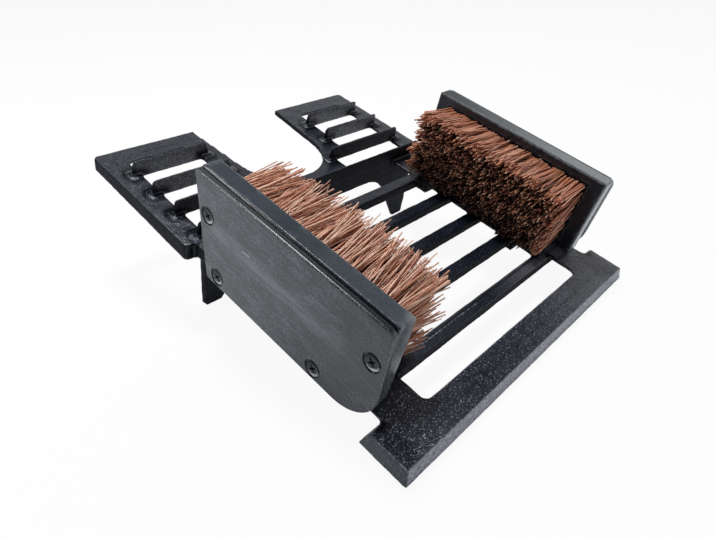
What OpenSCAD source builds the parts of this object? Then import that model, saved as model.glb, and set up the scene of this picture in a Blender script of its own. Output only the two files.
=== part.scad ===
// Boot scraper: a tilted iron grate with a boot jack at the rear and two side brushes.
// Deck coordinates: X across, Y from the front bar's top front edge to the rear, Z square to the deck,
// with Z = 0 on the deck's top. The deck is then tilted so that the front bar and two legs stand on the floor.

/* [Deck] */
// Slope of the deck when it stands, in degrees
deck_tilt = 15.2; // [10:0.1:20]
// Width of the deck over the side rails
deck_w = 229; // [200:1:260]
// Thickness of the deck's thin web
web_t = 2.6; // [2.5:0.1:5]
// Height of the skirt that stiffens the outer edges
skirt_h = 10; // [9:0.5:14]
// Height of the horns' skirts at their front ends
horn_skirt_h = 12.5; // [10:0.5:15]
// Thickness of the skirt
skirt_t = 4.5; // [3:0.5:6]
// Where the rails' skirts start, behind the front bar
skirt_start = 52; // [46:1:60]

/* [Scraper bars] */
// Number of scraper bars
bar_count = 5; // [3:1:6]
// Distance from bar to bar
bar_pitch = 29.6; // [24:0.1:31]
// Width of a bar on top
bar_w = 9.3; // [6:0.1:12]
// Height of a bar
bar_h = 7.5; // [5:0.5:9]
// How far each side of a bar leans out towards its underside
bar_draft = 0.8; // [0:0.1:1.5]
// Clear width of the gaps between the rails
grid_w = 153; // [120:1:170]

/* [Front bar] */
// Length of the front bar on top
front_len = 250; // [235:1:280]
// Width of the front bar on top, at its ends
front_w = 25.4; // [22:0.1:30]
// Thickness of the front bar
front_t = 10; // [8:0.5:13]
// How far the long faces lean out at the bottom
front_lean = 3.7; // [1:0.1:4.5]
// How far the end faces lean out at the bottom
end_lean = 2.3; // [0.5:0.1:4]
// Front edge of the slot behind the bar
slot_front = 19.6; // [15:0.1:21]
// Length of that slot
slot_len = 173; // [156:1:180]
// Corner radius of that slot
slot_r = 4; // [2:0.5:8]
// Fillet between the bar and the rails
joint_r = 3; // [1:0.5:5]
// Depth of the flat worn on the edge that stands on the floor
floor_flat = 0.6; // [0.3:0.1:1.2]

/* [Boot jack] */
// Width over the two horns
horn_w = 242; // [234:1:260]
// Where the horns step out from the rails
horn_front = 185; // [182:1:188]
// Rear edge of the horns
horn_rear = 298; // [290:1:320]
// Corner radius of the horns
horn_r = 3; // [1:0.5:8]
// Radius of the round end of the heel notch
notch_r = 37; // [30:0.5:40]
// Where the centre of that round end lies
notch_y = 246; // [240:1:252]
// Width of the notch at its mouth
notch_mouth = 82; // [81:1:100]
// Web left between the notch and the slots in the horns
notch_rim = 17.5; // [12:0.5:22]
// Width of the lip round the notch
lip_w = 4; // [3:0.5:7]
// Height of that lip
lip_h = 4.5; // [4:0.5:8]

/* [Scraper ridges] */
// Number of ridges on each horn, the first one being the wall above the legs
ridge_count = 4; // [3:1:4]
// Distance from ridge to ridge
ridge_pitch = 25.2; // [22:0.1:26]
// Front foot of the first ridge
ridge_front = 188.6; // [187:0.1:190]
// Height of a ridge above the deck
ridge_h = 10.6; // [6:0.1:14]
// Thickness of a ridge at its top
ridge_top = 2.2; // [1:0.1:3]
// Thickness of a ridge at its foot
ridge_foot = 3.6; // [3.2:0.1:6]
// How far a ridge runs on past each end of the slot before it
ridge_over = 7; // [4:0.5:8]
// How far the ends of a ridge lean in towards its top
ridge_end_lean = 1.2; // [0:0.1:3]
// Radius of the upper corners at the ends of a ridge
ridge_r = 3; // [1:0.5:4]
// Width of the collar round the foot of a ridge's end
collar_w = 2.5; // [1.5:0.1:2.8]
// Height of that collar
collar_h = 0.9; // [0.5:0.1:1.5]
// Width over the outer ends of the horns' slots
slots_w = 206; // [190:1:208]
// Length from the last ridge to the rear edge of the slot behind it
last_slot = 13.5; // [10:0.5:18]
// Corner radius of the horns' slots
horn_slot_r = 2; // [1:0.5:3]

/* [Legs] */
// Width over the outer sides of the legs
legs_w = 211; // [190:1:216]
// Width of a leg where it stands
foot_w = 11; // [8:0.5:18]
// Width of a leg at the wall's lower edge
leg_top_w = 42; // [28:0.5:50]
// Thickness of the legs' front web and of the wall between them
wall_t = 3.5; // [3:0.1:4.5]
// Height of the wall below the deck's top
wall_h = 13.3; // [11:0.1:18]
// Depth of the flange along a leg's outer side
leg_t = 7; // [5:0.5:9]
// Width of that flange
flange_w = 3.5; // [2.5:0.5:6]
// Forward lean of the legs, in degrees from square to the deck
leg_lean = 4.5; // [0:0.5:8]
// Fillet between a leg and the wall
leg_r = 28; // [10:1:34]

/* [Side plates] */
// Thickness of a side plate
plate_t = 4; // [3:0.1:6]
// Top edge above the deck
plate_top = 59.4; // [50:0.1:66]
// Bottom edge below the deck
plate_drop = 11.5; // [10.5:0.1:14]
// Rear end of the top edge
plate_rear_top_y = 180; // [172:0.5:183]
// Rear end of the bottom edge
plate_rear_low_y = 167; // [164:0.5:172]
// Front end of the top edge
plate_front_top_y = 33.4; // [31:0.1:36]
// Where the front edge would meet the bottom edge
plate_front_low_y = 28; // [27.5:0.1:32]
// The same for the right plate, whose front edge stands more upright
right_front_low_y = 33; // [31:0.1:34]
// Corner radius at the lower front
plate_toe_r = 26.5; // [18:0.5:36]
// Corner radius at the top front
plate_brow_r = 5; // [2:0.5:8]
// Corner radius at the rear
plate_rear_r = 2.5; // [1:0.5:5]

/* [Brush blocks] */
// Thickness of a brush block
block_t = 12.2; // [10:0.1:16]
// Front end of the block
block_front = 33.9; // [32:0.1:38]
// Length of the block
block_len = 145; // [136:1:148]
// Height of the block
block_h = 60.4; // [56:0.1:66]
// Chamfer along the block's edges
block_edge = 1; // [0.5:0.1:2]

/* [Bristles] */
// Rows of bristles along the block
strand_cols = 22; // [20:1:24]
// Rows of bristles up the block
strand_rows = 8; // [7:1:10]
// Mean reach of the bristles from the block
strand_len = 34; // [24:0.5:40]
// Thickness of a bristle bundle at its root
strand_w = 2.4; // [1.8:0.1:2.6]
// Thickness of a bristle bundle at its tip
strand_tip = 1.5; // [0.8:0.1:1.8]
// Spread of the tips, as a share of the field of roots
strand_splay = 1.05; // [1:0.01:1.1]
// Largest stray of a tip along the block and up it
strand_stray = 1.1; // [0:0.1:1.3]
// Largest change of a bundle's reach
strand_uneven = 2.5; // [0:0.1:4]
// Bare margin of the block in front of and behind the field of bristles
field_end = 11; // [8:0.5:16]
// Bare margin of the block below the field
field_low = 6.5; // [4:0.5:10]
// Bare margin of the block above the field
field_top = 6; // [4:0.5:10]
// Thickness of the backing slice that holds the bristles
backing_t = 2; // [1.5:0.1:3]
// Clearance round the backing slice
backing_gap = 0.2; // [0.1:0.05:0.4]

/* [Screws] */
// Nominal diameter of the screws
screw_d = 5; // [4:0.5:6]
// Diameter of a countersunk head
head_d = 9.4; // [8:0.1:11]
// Height of the head's straight rim
head_rim = 0.4; // [0.2:0.1:0.6]
// Depth of a head below the plate's outer face
head_sunk = 0.2; // [0.1:0.1:0.3]
// Radial clearance round a head
head_gap = 0.3; // [0.2:0.1:0.6]
// Radial clearance of the shanks in their holes
shank_gap = 0.1; // [0.05:0.01:0.2]
// Length of the screws into the rails
rail_screw_len = 16; // [12:0.5:20]
// Length of the screws into the blocks
block_screw_len = 12; // [9:0.5:12.5]
// Width of the arms of the cross recess
cross_w = 1.1; // [0.8:0.1:1.4]
// Length of the arms of the cross recess, tip to tip
cross_len = 5; // [4:0.1:6]
// Depth of the cross recess
cross_depth = 1.6; // [1:0.1:2]
// Where the rear rail screw lies along the deck
rail_screw_rear = 156.5; // [150:0.5:160]
// Where the front rail screw lies along the deck
rail_screw_front = 72.6; // [66:0.1:80]
// Depth of the rail screws below the deck's top
rail_screw_drop = 4; // [3.5:0.1:5.5]
// Width of the lug under the rail that takes a screw
lug_w = 14; // [11:0.5:18]
// Height of that lug
lug_h = 9; // [8.5:0.5:10]
// Where the rear block screw lies along the deck
block_screw_rear = 167; // [160:0.5:170]
// Where the front block screw lies along the deck
block_screw_front = 40; // [38.5:0.5:46]
// Height of the block screws above the deck's top
block_screw_z = 34.5; // [20:0.5:44]

/* [Hidden] */
$fn = 48;
// Reach of cuts past the faces that they open
past = 1;

rail_x = deck_w / 2;
plate_x = rail_x + plate_t;
block_x = rail_x - block_t;
leg_x = legs_w / 2;
grid_front = slot_front + bar_pitch - bar_w;
wall_y = ridge_front;
wall_rear = wall_y + leg_t;

// The standing edge of the front bar and the rear edge of the horns, in the tilted frame
low_edge = [-front_lean, -front_t];
low_y = low_edge[0] * cos(deck_tilt) - low_edge[1] * sin(deck_tilt);
low_z = low_edge[0] * sin(deck_tilt) + low_edge[1] * cos(deck_tilt);
floor_z = low_z + floor_flat;
front_most = low_y * floor_z / low_z;
rear_most = horn_rear * cos(deck_tilt) + skirt_h * sin(deck_tilt);
middle_y = (front_most + rear_most) / 2;

// Height of the floor below the deck's top, measured square to the deck at a place along it
function floor_below(y) = (y * sin(deck_tilt) - floor_z) / cos(deck_tilt);
// Half width of the heel notch at a place along the deck
function mouth_angle() = atan2(horn_rear - notch_y, notch_mouth / 2)
  - acos(notch_r / norm([horn_rear - notch_y, notch_mouth / 2]));
function mouth_start() = notch_r * [cos(mouth_angle()), sin(mouth_angle())];
function notch_half(y) = y > notch_y + mouth_start()[1]
  ? mouth_start()[0] + (y - notch_y - mouth_start()[1])
    * (notch_mouth / 2 - mouth_start()[0]) / (horn_rear - notch_y - mouth_start()[1])
  : sqrt(max(0, notch_r * notch_r - (y - notch_y) * (y - notch_y)));
function ridge_y(i) = ridge_front + i * ridge_pitch;
// The slot in front of ridge i starts at the foot of the ridge before it
function slot_start(i) = i == 1 ? wall_rear : ridge_y(i - 1) + ridge_foot;
function slot_end(i) = i == ridge_count ? slot_start(i) + last_slot : ridge_y(i);
function slot_inner(i) = notch_half(slot_end(i)) + notch_rim;
// A number from 0 to 1 that looks random but is the same each time
function scatter(i, j, k) = let (s = sin(i * 127.1 + j * 311.7 + k * 74.7) * 43758.5) s - floor(s);
function unit(v) = v / norm(v);

// Carries the deck's coordinates into the standing frame
module standing() {
  translate([0, -middle_y, -floor_z])
    rotate([deck_tilt, 0, 0])
      children();
}

// Extrudes an outline drawn in Y and Z along X
module along_x(from, to) {
  translate([from, 0, 0])
    rotate([90, 0, 90])
      linear_extrude(to - from)
        children();
}

// Extrudes an outline drawn in X and Z along Y
module along_y(from, to) {
  translate([0, to, 0])
    rotate([90, 0, 0])
      linear_extrude(to - from)
        children();
}

// Extrudes an outline drawn in X and Y along Z
module along_z(from, to) {
  translate([0, 0, from])
    linear_extrude(to - from)
      children();
}

// A convex outline with a true arc of its own radius at each corner
module rounded(points, radii) {
  count = len(points);
  before = [for (i = [0 : count - 1]) unit(points[(i + count - 1) % count] - points[i])];
  after = [for (i = [0 : count - 1]) unit(points[(i + 1) % count] - points[i])];
  half = [for (i = [0 : count - 1]) acos(before[i] * after[i]) / 2];
  polygon([for (i = [0 : count - 1], side = [before[i], after[i]]) points[i] + side * radii[i] / tan(half[i])]);
  for (i = [0 : count - 1])
    translate(points[i] + unit(before[i] + after[i]) * radii[i] / sin(half[i]))
      circle(radii[i], $fn = 96);
}

// A rectangle between two corners with rounded corners
module rounded_box(low, high, r) {
  rounded([low, [high[0], low[1]], high, [low[0], high[1]]], [r, r, r, r]);
}

// A rectangle between two corners with cut corners
module cut_box(low, high, c) {
  polygon([[low[0] + c, low[1]], [high[0] - c, low[1]], [high[0], low[1] + c], [high[0], high[1] - c],
    [high[0] - c, high[1]], [low[0] + c, high[1]], [low[0], high[1] - c], [low[0], low[1] + c]]);
}

module both_sides() {
  children();
  mirror([1, 0, 0])
    children();
}

// Outline of the rails and horns, seen from above
module deck_outline(inset) {
  translate([-rail_x + inset, slot_front])
    square([deck_w - 2 * inset, horn_front - slot_front + skirt_t + horn_r + inset]);
  rounded_box([-horn_w / 2 + inset, horn_front + inset], [horn_w / 2 - inset, horn_rear - inset], horn_r);
}

// The heel notch: a round end that opens to its mouth, or the same outline grown by the lip's width
module notch_outline(grow) {
  start = mouth_start();
  reach = horn_rear - notch_y;
  slope = (notch_mouth / 2 - start[0]) / (reach - start[1]);
  narrow = start[0] + grow;
  wide = notch_mouth / 2 + past * slope + grow;
  translate([0, notch_y]) {
    circle(notch_r + grow, $fn = 120);
    polygon([[-narrow, start[1]], [narrow, start[1]], [wide, reach + past], [-wide, reach + past]]);
  }
}

module front_slot_outline() {
  rounded_box([-slot_len / 2, slot_front], [slot_len / 2, grid_front + bar_w / 2], slot_r);
}

module horn_slots_outline() {
  for (i = [1 : ridge_count])
    rounded_box([slot_inner(i), slot_start(i)], [slots_w / 2, slot_end(i)], horn_slot_r);
}

module deck_web() {
  along_z(-web_t, 0)
    difference() {
      deck_outline(0);
      translate([-grid_w / 2, grid_front])
        square([grid_w, wall_y - grid_front]);
      front_slot_outline();
      notch_outline(0);
      both_sides()
        horn_slots_outline();
    }
}

// The skirts under the outer edges; those of the horns are deepest at their front ends
module skirts() {
  intersection() {
    along_z(-horn_skirt_h, 0)
      difference() {
        deck_outline(0);
        translate([0, -skirt_t])
          deck_outline(skirt_t);
        translate([-horn_w / 2 + skirt_t, horn_front + skirt_t])
          square([horn_w - 2 * skirt_t, horn_rear - horn_front - 2 * skirt_t]);
        translate([-notch_mouth / 2 - notch_rim, horn_rear - skirt_t - past])
          square([notch_mouth + 2 * notch_rim, skirt_t + 2 * past]);
        translate([-rail_x - past, 0])
          square([deck_w + 2 * past, skirt_start]);
      }
    along_x(-horn_w, horn_w)
      polygon([[0, past], [0, -skirt_h], [horn_front - past, -skirt_h], [horn_front - past, -horn_skirt_h],
        [horn_front + skirt_t, -horn_skirt_h], [horn_rear + past, -skirt_h], [horn_rear + past, past]]);
  }
}

module notch_lip() {
  along_z(-lip_h, 0)
    intersection() {
      deck_outline(0);
      difference() {
        notch_outline(lip_w);
        notch_outline(0);
      }
    }
}

module scraper_bars() {
  for (i = [0 : bar_count - 1])
    translate([0, grid_front + i * bar_pitch, 0])
      along_x(-rail_x + skirt_t / 2, rail_x - skirt_t / 2)
        polygon([[0, 0], [bar_w, 0], [bar_w + bar_draft, -bar_h], [-bar_draft, -bar_h]]);
}

// The front bar is a shallow channel: a web, a lip that stands on the floor, and solid ends
module front_bar() {
  difference() {
    intersection() {
      along_x(-front_len, front_len)
        polygon([[0, 0], [front_w, 0], [front_w + front_lean, -front_t], [-front_lean, -front_t]]);
      along_y(-front_w, 2 * front_w)
        polygon([[-front_len / 2, 0], [front_len / 2, 0], [front_len / 2 + end_lean, -front_t],
          [-front_len / 2 - end_lean, -front_t]]);
    }
    along_z(-front_t - past, past)
      front_slot_outline();
    translate([-rail_x + skirt_t, skirt_t, -front_t - past])
      cube([deck_w - 2 * skirt_t, 2 * front_w, front_t + past - web_t]);
  }
}

// Fillets in the corners between the front bar and the rails
module joint_fillets() {
  both_sides()
    along_z(-web_t, 0)
      translate([rail_x, front_w])
        difference() {
          translate([-past, -past])
            square(joint_r + past);
          translate([joint_r, joint_r])
            circle(joint_r);
        }
}

// One ridge between two places across the deck, with leaning faces and ends
module ridge(from, to) {
  taper = (ridge_foot - ridge_top) / 2;
  intersection() {
    along_x(from, to)
      polygon([[0, -web_t], [0, 0], [taper, ridge_h], [ridge_foot - taper, ridge_h], [ridge_foot, 0],
        [ridge_foot, -web_t]]);
    along_y(-past, ridge_foot + past)
      rounded([[from, -web_t], [to, -web_t], [to - ridge_end_lean, ridge_h], [from + ridge_end_lean, ridge_h]],
        [web_t / 3, web_t / 3, ridge_r, ridge_r]);
  }
}

// A low collar round the foot of one end of a ridge
module collar(from, to) {
  along_z(-web_t / 2, collar_h)
    rounded_box([from, -collar_w], [to, ridge_foot + collar_w], collar_w);
}

module ridges() {
  ridge_end = slots_w / 2 + ridge_over;
  translate([0, ridge_y(0), 0])
    ridge(-ridge_end, ridge_end);
  both_sides()
    for (i = [0 : ridge_count - 1])
      translate([0, ridge_y(i), 0]) {
        collar(slots_w / 2, ridge_end + collar_w);
        if (i > 0) {
          ridge(slot_inner(i) - ridge_over, ridge_end);
          collar(slot_inner(i) - ridge_over - collar_w, slot_inner(i));
        }
      }
}

// Half of the wall under the deck with the web of its leg, seen from the front
module leg_outline() {
  corner = [leg_x - leg_top_w, -wall_h];
  foot = [leg_x - foot_w, -floor_below(wall_rear)];
  down = unit(foot - corner);
  half = acos(-down[0]) / 2;
  run = leg_r / tan(half);
  end = foot + down * leg_t;
  translate([0, -wall_h])
    square([leg_x, wall_h]);
  translate([0, -skirt_h])
    square([rail_x - skirt_t / 2, skirt_h]);
  polygon([[leg_x, 0], [corner[0], 0], corner, end, [leg_x, end[1]]]);
  difference() {
    polygon([corner - [run, 0], [corner[0], 0], corner + down * run]);
    translate(corner - [run, leg_r])
      circle(leg_r, $fn = 96);
  }
}

// The wall under the first ridge and the two flanged legs, which lean forward towards the floor
module legs() {
  reach = floor_below(wall_rear) + leg_t;
  translate([0, wall_y, 0])
    rotate([-leg_lean, 0, 0])
      both_sides() {
        along_y(0, wall_t)
          leg_outline();
        translate([leg_x - flange_w, 0, -reach])
          cube([flange_w, leg_t, reach]);
      }
}

// Lugs under the rails that take the rail screws
module lugs() {
  both_sides()
    for (y = [rail_screw_front, rail_screw_rear])
      translate([grid_w / 2, y - lug_w / 2, -lug_h])
        cube([rail_x - skirt_t / 2 - grid_w / 2, lug_w, lug_h - web_t / 2]);
}

module rail_screw_holes() {
  both_sides()
    for (y = [rail_screw_front, rail_screw_rear])
      translate([rail_x + past, y, -rail_screw_drop])
        rotate([0, -90, 0])
          cylinder(h = rail_screw_len - plate_t + 2 * past, d = screw_d + 2 * shank_gap);
}

module base_casting() {
  color([0.1, 0.11, 0.13])
    difference() {
      standing()
        difference() {
          union() {
            deck_web();
            skirts();
            notch_lip();
            scraper_bars();
            front_bar();
            joint_fillets();
            ridges();
            legs();
            lugs();
          }
          rail_screw_holes();
        }
      translate([-front_len, -horn_rear, -2 * skirt_h])
        cube([2 * front_len, 2 * horn_rear, 2 * skirt_h]);
    }
}

// Outline of a side plate, seen from the side
module plate_outline(front_low_y) {
  rounded([[plate_rear_low_y, -plate_drop], [plate_rear_top_y, plate_top], [plate_front_top_y, plate_top],
      [front_low_y, -plate_drop]],
    [plate_rear_r, plate_rear_r, plate_brow_r, plate_toe_r]);
}

// A hole through the plate with its countersink, its axis along X
module countersunk_hole() {
  cone = head_d / 2 + head_gap;
  shank = screw_d / 2 + 2 * shank_gap;
  rotate([0, -90, 0]) {
    translate([0, 0, -past])
      cylinder(h = plate_t + 2 * past, r = shank);
    translate([0, 0, -past])
      cylinder(h = past + head_sunk + head_rim, r = cone);
    translate([0, 0, head_sunk + head_rim])
      cylinder(h = cone - shank, r1 = cone, r2 = shank);
  }
}

module side_plate(front_low_y) {
  color([0.28, 0.29, 0.31])
    standing()
      difference() {
        along_x(rail_x, plate_x)
          plate_outline(front_low_y);
        for (y = [rail_screw_front, rail_screw_rear])
          translate([plate_x, y, -rail_screw_drop])
            countersunk_hole();
        for (y = [block_screw_front, block_screw_rear])
          translate([plate_x, y, block_screw_z])
            countersunk_hole();
      }
}

module brush_block() {
  block_rear = block_front + block_len;
  color([0.17, 0.2, 0.22])
    standing()
      difference() {
        intersection() {
          along_x(block_x, rail_x)
            cut_box([block_front, 0], [block_rear, block_h], block_edge);
          along_y(block_front, block_rear)
            cut_box([block_x, 0], [rail_x, block_h], block_edge);
          along_z(0, block_h)
            cut_box([block_x, block_front], [rail_x, block_rear], block_edge);
        }
        translate([block_x - past, block_front + field_end - backing_gap, field_low - backing_gap])
          cube([backing_t + past, block_len - 2 * field_end + 2 * backing_gap,
            block_h - field_low - field_top + 2 * backing_gap]);
        for (y = [block_screw_front, block_screw_rear])
          translate([rail_x + past, y, block_screw_z])
            rotate([0, -90, 0])
              cylinder(h = block_screw_len - plate_t + 1.5 * past, d = screw_d + 2 * shank_gap);
      }
}

// Bristles on their backing slice, as one closed surface: each cell of the slice's face has a square
// root, from which a tapered bundle runs inwards to its tip
module bristles() {
  low = [block_front + field_end, field_low];
  size = [block_len - 2 * field_end, block_h - field_low - field_top];
  cell = [size[0] / strand_cols, size[1] / strand_rows];
  corners = (strand_cols + 1) * (strand_rows + 1);
  turn = [[-1, -1], [1, -1], [1, 1], [-1, 1]];
  face = [for (j = [0 : strand_rows], i = [0 : strand_cols])
    [block_x, low[0] + i * cell[0], low[1] + j * cell[1]]];
  strands = [for (j = [0 : strand_rows - 1], i = [0 : strand_cols - 1], end = [0, 1], t = turn)
    let (
      root = [(i + 0.5) * cell[0], (j + 0.5) * cell[1]],
      stray = strand_stray * [2 * scatter(i, j, 1) - 1, 2 * scatter(i, j, 2) - 1],
      tip = size / 2 + (root - size / 2) * strand_splay + stray,
      reach = strand_len + strand_uneven * (2 * scatter(i, j, 3) - 1),
      at = low + (end == 0 ? root + t * strand_w / 2 : tip + t * strand_tip / 2)
    ) [block_x - end * reach, at[0], at[1]]];
  back = [for (t = [[0, 0], [1, 0], [1, 1], [0, 1]])
    [block_x + backing_t, low[0] + t[0] * size[0], low[1] + t[1] * size[1]]];
  b = corners + len(strands);
  function grid(i, j) = j * (strand_cols + 1) + i;
  function strand(i, j, end, k) = corners + ((j * strand_cols + i) * 2 + end) * 4 + k % 4;
  function cell_corner(i, j, k) = grid(i + (k % 4 == 1 || k % 4 == 2 ? 1 : 0), j + (k % 4 > 1 ? 1 : 0));
  cells = [for (j = [0 : strand_rows - 1], i = [0 : strand_cols - 1], k = [0 : 3]) each [
    [cell_corner(i, j, k), cell_corner(i, j, k + 1), strand(i, j, 0, k + 1)],
    [cell_corner(i, j, k), strand(i, j, 0, k + 1), strand(i, j, 0, k)],
    [strand(i, j, 0, k), strand(i, j, 0, k + 1), strand(i, j, 1, k + 1)],
    [strand(i, j, 0, k), strand(i, j, 1, k + 1), strand(i, j, 1, k)]]];
  tips = [for (j = [0 : strand_rows - 1], i = [0 : strand_cols - 1]) each [
    [strand(i, j, 1, 0), strand(i, j, 1, 1), strand(i, j, 1, 2)],
    [strand(i, j, 1, 0), strand(i, j, 1, 2), strand(i, j, 1, 3)]]];
  c = strand_cols;
  r = strand_rows;
  rim = concat(
    [for (i = [0 : c - 1]) [b, grid(i + 1, 0), grid(i, 0)]], [[b, b + 1, grid(c, 0)]],
    [for (j = [0 : r - 1]) [b + 1, grid(c, j + 1), grid(c, j)]], [[b + 1, b + 2, grid(c, r)]],
    [for (i = [0 : c - 1]) [b + 2, grid(i, r), grid(i + 1, r)]], [[b + 2, b + 3, grid(0, r)]],
    [for (j = [0 : r - 1]) [b + 3, grid(0, j), grid(0, j + 1)]], [[b + 3, b, grid(0, 0)]],
    [[b, b + 2, b + 1], [b, b + 3, b + 2]]);
  color([0.56, 0.34, 0.23])
    standing()
      polyhedron(concat(face, strands, back), concat(cells, tips, rim));
}

// A countersunk screw with a cross recess, its head's face at the origin, its shank along -X
module screw(length) {
  color([0.13, 0.14, 0.15])
    rotate([0, -90, 0])
      difference() {
        union() {
          cylinder(h = head_rim, d = head_d);
          translate([0, 0, head_rim])
            cylinder(h = (head_d - screw_d) / 2, d1 = head_d, d2 = screw_d);
          cylinder(h = length, d = screw_d);
        }
        for (turn = [0, 90])
          rotate(turn + 45)
            translate([-cross_len / 2, -cross_w / 2, -past])
              cube([cross_len, cross_w, past + cross_depth]);
      }
}

module rail_screw(y) {
  standing()
    translate([plate_x - head_sunk, y, -rail_screw_drop])
      screw(rail_screw_len);
}

module block_screw(y) {
  standing()
    translate([plate_x - head_sunk, y, block_screw_z])
      screw(block_screw_len);
}

module left() {
  mirror([1, 0, 0])
    children();
}

base_casting();
left() side_plate(plate_front_low_y);  // left_side_plate
side_plate(right_front_low_y);  // right_side_plate
left() brush_block();  // left_brush_block
brush_block();  // right_brush_block
left() bristles();  // left_bristles
bristles();  // right_bristles
left() rail_screw(rail_screw_front);  // left_front_rail_screw
left() rail_screw(rail_screw_rear);  // left_rear_rail_screw
rail_screw(rail_screw_front);  // right_front_rail_screw
rail_screw(rail_screw_rear);  // right_rear_rail_screw
left() block_screw(block_screw_front);  // left_front_block_screw
left() block_screw(block_screw_rear);  // left_rear_block_screw
block_screw(block_screw_front);  // right_front_block_screw
block_screw(block_screw_rear);  // right_rear_block_screw
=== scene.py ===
# %% [markdown]
# # A cast iron boot scraper, dressed in Blender
# The scraper stands by a door. Soles are scraped on its bars and brushed between its two brushes,
# and a boot is pulled off in the notch at its rear. The solids of the part are already made: one iron
# casting, two side plates, two brush blocks with their bristles, and eight screws. This lesson gives
# each of them the surface and the small shapes that the solids lack: soft cast edges, worn paint,
# single fibres. All lengths are in metres.

# %% Load the frame
import math
import bmesh
import bpy
from mathutils import Matrix, Vector
from mathutils.bvhtree import BVHTree
from mathutils.kdtree import KDTree
from mathutils.noise import noise as noise_at


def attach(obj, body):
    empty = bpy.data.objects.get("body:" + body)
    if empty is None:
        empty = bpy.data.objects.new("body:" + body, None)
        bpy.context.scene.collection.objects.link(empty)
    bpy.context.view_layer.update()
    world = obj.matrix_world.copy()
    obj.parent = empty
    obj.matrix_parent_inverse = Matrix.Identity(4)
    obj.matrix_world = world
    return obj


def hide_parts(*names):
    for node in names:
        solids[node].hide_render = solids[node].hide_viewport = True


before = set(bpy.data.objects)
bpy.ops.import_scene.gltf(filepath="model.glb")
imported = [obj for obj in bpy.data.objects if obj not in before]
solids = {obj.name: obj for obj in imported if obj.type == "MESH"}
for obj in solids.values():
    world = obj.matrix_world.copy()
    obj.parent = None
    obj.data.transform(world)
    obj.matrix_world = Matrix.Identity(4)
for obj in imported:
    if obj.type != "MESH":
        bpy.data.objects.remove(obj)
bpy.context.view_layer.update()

# %% [markdown]
# ## The deck's own coordinates
# The grate slopes, so its pieces are easiest to place in the deck's coordinates: X across, Y from the
# front bar to the boot jack, Z square to the deck. One matrix carries them into the standing frame.

# %% The deck's coordinates
DECK_TILT = math.radians(15.2)
DECK_ORIGIN = Vector((0.0, -0.144651, 0.010020))
deck_to_row = Matrix.Translation(DECK_ORIGIN) @ Matrix.Rotation(DECK_TILT, 4, "X")
row_to_deck = deck_to_row.inverted()
DECK_UP = deck_to_row.to_3x3() @ Vector((0.0, 0.0, 1.0))
DECK_BACK = deck_to_row.to_3x3() @ Vector((0.0, 1.0, 0.0))


def from_deck(x, y, z):
    return deck_to_row @ Vector((x, y, z))


print("deck origin in the row frame:", [round(v, 4) for v in deck_to_row.translation])

# %% [markdown]
# ## Camera
# The photograph looks down on the scraper from the front left, from close by, so the lens is wide.
# The eye point and the lens come from the scraper's own corners, which fix a camera fully.

# %% Camera
EYE = Vector((-0.26475, -0.24343, 0.22169))
GAZE = Vector((0.62383, 0.58372, -0.51971)).normalized()
ACROSS = Vector((0.68416, -0.72932, 0.00209)).normalized()
LENS_MM, SENSOR_MM = 27.98, 36.0


def into_scene(name, data):
    thing = bpy.data.objects.new(name, data)
    bpy.context.scene.collection.objects.link(thing)
    return thing


camera_data = bpy.data.cameras.new("photo_camera")
camera_data.lens = LENS_MM
camera_data.sensor_width = SENSOR_MM
camera_data.clip_start = 0.01
camera = into_scene("photo_camera", camera_data)
aim = Matrix((ACROSS, ACROSS.cross(GAZE), -GAZE)).transposed()
camera.matrix_world = Matrix.Translation(EYE) @ aim.to_4x4()
bpy.context.scene.camera = camera
print("camera at", [round(v, 3) for v in EYE])

# %% [markdown]
# ## Helpers for node graphs
# A material is a small graph of nodes, and so is a Geometry Nodes tree. Written out, each node and each
# link takes a line, so one helper does both: it adds a node and sets its inputs, each a number or the
# output of another node. A node that is fed by another joins that one's graph.

# %% Graph helpers
def plug(socket, value):
    if isinstance(value, bpy.types.NodeSocket):
        socket.id_data.links.new(value, socket)
    else:
        socket.default_value = value


def add(tree, kind, inputs=None, **settings):
    node = tree.nodes.new(kind)
    for key, value in settings.items():
        setattr(node, key, value)
    for key, value in (inputs or {}).items():
        plug(node.inputs[key], value)
    return node


def fed(kind, inputs, **settings):
    tree = next(v.id_data for v in inputs.values() if isinstance(v, bpy.types.NodeSocket))
    return add(tree, kind, inputs, **settings)


print("graph helpers ready")

# %% [markdown]
# ## Helpers for numbers and vectors
# Most nodes here only calculate. Each sort of sum gets a short name, so that a finish reads like plain
# arithmetic: products, totals, the largest of some values, and a value spread from 0 to 1 between two
# limits and held there beyond them.

# %% Number and vector helpers
def calc(operation, first, second=0.0):
    return fed("ShaderNodeMath", {0: first, 1: second}, operation=operation).outputs[0]


def chained(operation, first, *others):
    for other in others:
        first = calc(operation, first, other)
    return first


def times(*values):
    return chained("MULTIPLY", *values)


def total(*values):
    return chained("ADD", *values)


def most(*values):
    return chained("MAXIMUM", *values)


def scaled(value, scale, plus):
    inputs = {0: value, 1: scale, 2: plus}
    return fed("ShaderNodeMath", inputs, operation="MULTIPLY_ADD").outputs[0]


def spread(value, low, high, start=0.0, end=1.0):
    ends = {"From Min": low, "From Max": high, "To Min": start, "To Max": end}
    return fed("ShaderNodeMapRange", {"Value": value, **ends}).outputs["Result"]


def vector(operation, first, second):
    inputs = {0: first, "Scale" if operation == "SCALE" else 1: second}
    node = fed("ShaderNodeVectorMath", inputs, operation=operation)
    return node.outputs["Value" if operation in ("DOT_PRODUCT", "DISTANCE") else "Vector"]


def dot(first, second):
    return vector("DOT_PRODUCT", first, second)


def axes(value):
    return fed("ShaderNodeSeparateXYZ", {"Vector": value}).outputs


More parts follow.
